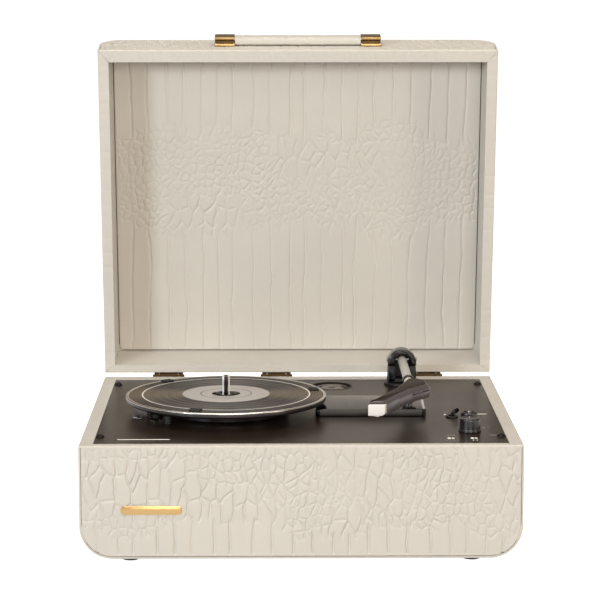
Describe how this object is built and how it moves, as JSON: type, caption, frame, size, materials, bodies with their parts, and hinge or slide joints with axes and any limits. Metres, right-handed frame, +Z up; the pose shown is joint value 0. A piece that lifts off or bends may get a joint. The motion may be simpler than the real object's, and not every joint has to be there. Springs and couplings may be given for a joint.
{
  "type": "suitcase record player",
  "caption": "Portable suitcase turntable with hinged lid, belt-driven platter, pivoting tonearm, control knobs, carrying handle and side speakers.",
  "frame": {"origin": "centre of the bounding box with the lid open, at the underside of the feet, so the part stands on z = 0", "axes": "+Z up, +Y from the front of the case to its hinged back, +X to the listener's right when facing the front"},
  "size_m": [0.4042, 0.3984, 0.4637],
  "materials": {
    "leatherette": "embossed croc-pattern leatherette, satin",
    "deck_black": "satin black panel",
    "black_plastic": "moulded black",
    "platter_metal": "dark satin paint with a bright edge",
    "mat_black": "fine concentric grooves",
    "chrome": "polished",
    "brass": "polished brass plate",
    "steel": "plain zinc steel",
    "rubber": "matt",
    "arm_grey": "satin light grey tube",
    "shell_grey": "satin dark grey",
    "cream_plastic": "moulded off-white",
    "circuit": "solder-masked board",
    "red_plastic": "moulded red"
  },
  "bodies": {
    "case": {"base_band": "leatherette", "front_board": "leatherette", "rear_board": "leatherette", "foot_front_left": "rubber", "foot_front_right": "rubber", "foot_rear_left": "rubber", "foot_rear_right": "rubber", "front_plaque": "brass", "jack_plate": "black_plastic", "rca_jack_left": "cream_plastic", "rca_jack_right": "red_plastic", "power_inlet": "black_plastic", "deck_plate": "deck_black", "deck_screw_front_left": "steel", "deck_screw_front_right": "steel", "deck_screw_rear_left": "steel", "deck_screw_rear_right": "steel", "spindle": "chrome", "bearing_housing": "steel", "motor_can": "steel", "drive_belt": "rubber", "speed_block": "shell_grey", "stop_post": "black_plastic", "arm_island": "black_plastic", "arm_rest": "black_plastic", "arm_base": "black_plastic", "control_board": "circuit", "speaker_left": "black_plastic", "speaker_right": "black_plastic", "grille_left": "black_plastic", "grille_right": "black_plastic", "circuit_board": "circuit", "hinge_base_left": "brass", "hinge_base_middle": "brass", "hinge_base_right": "brass"},
    "lid": {"lid_band": "leatherette", "lid_front_board": "leatherette", "lid_rear_board": "leatherette", "lid_lining": "leatherette", "hinge_lid_left": "brass", "hinge_lid_middle": "brass", "hinge_lid_right": "brass", "handle_bracket_left": "brass", "handle_bracket_right": "brass", "handle_strap": "leatherette"},
    "turntable": {"platter": "platter_metal", "platter_mat": "mat_black", "bearing_sleeve": "black_plastic"},
    "motor_rotor": {"motor_pulley": "brass"},
    "arm_turret": {"arm_yoke": "black_plastic"},
    "arm_wand": {"arm_tube": "arm_grey", "arm_collar": "black_plastic", "arm_ferrule": "cream_plastic", "headshell": "shell_grey", "cartridge": "cream_plastic", "stylus": "cream_plastic"},
    "volume": {"volume_knob": "black_plastic"},
    "selector": {"selector_knob": "black_plastic"},
    "lever_body": {"lever": "black_plastic"},
    "adapter": {"adapter_45": "shell_grey"}
  },
  "joints": [
    {"name": "lid_hinge", "type": "hinge", "parent": "case", "child": "lid", "pos_m": [0, 0.14494, 0.10925], "axis": [1, 0, 0], "range_deg": [0, 81.5]},
    {"name": "platter_spin", "type": "hinge", "parent": "case", "child": "turntable", "pos_m": [-0.0705, -0.04356, 0.109], "axis": [0, 0, -1], "continuous": true},
    {"name": "motor_spin", "type": "hinge", "parent": "case", "child": "motor_rotor", "pos_m": [-0.13575, -0.07398, 0.109], "axis": [0, 0, -1], "continuous": true},
    {"name": "arm_swing", "type": "hinge", "parent": "case", "child": "arm_turret", "pos_m": [0.1056, 0.09795, 0.1346], "axis": [0, 0, -1], "range_deg": [0, 34]},
    {"name": "arm_lift", "type": "hinge", "parent": "arm_turret", "child": "arm_wand", "pos_m": [0.1056, 0.09795, 0.1346], "axis": [-1, 0, 0], "range_deg": [0, 3]},
    {"name": "volume_turn", "type": "hinge", "parent": "case", "child": "volume", "pos_m": [0.156, -0.13606, 0.109], "axis": [0, 0, -1], "range_deg": [0, 300]},
    {"name": "selector_turn", "type": "hinge", "parent": "case", "child": "selector", "pos_m": [0.158, -0.10305, 0.109], "axis": [0, 0, -1], "range_deg": [-45, 45]},
    {"name": "lever_tilt", "type": "hinge", "parent": "case", "child": "lever_body", "pos_m": [0.1445, -0.06806, 0.101], "axis": [1, 0, 0], "range_deg": [-16, 16]},
    {"name": "adapter_lift", "type": "slide", "parent": "case", "child": "adapter", "axis": [0, 0, 1], "range_m": [0, 0.04]}
  ],
  "couplings": [
    {"joint": "motor_spin", "follows": "platter_spin", "ratio": 12}
  ]
}
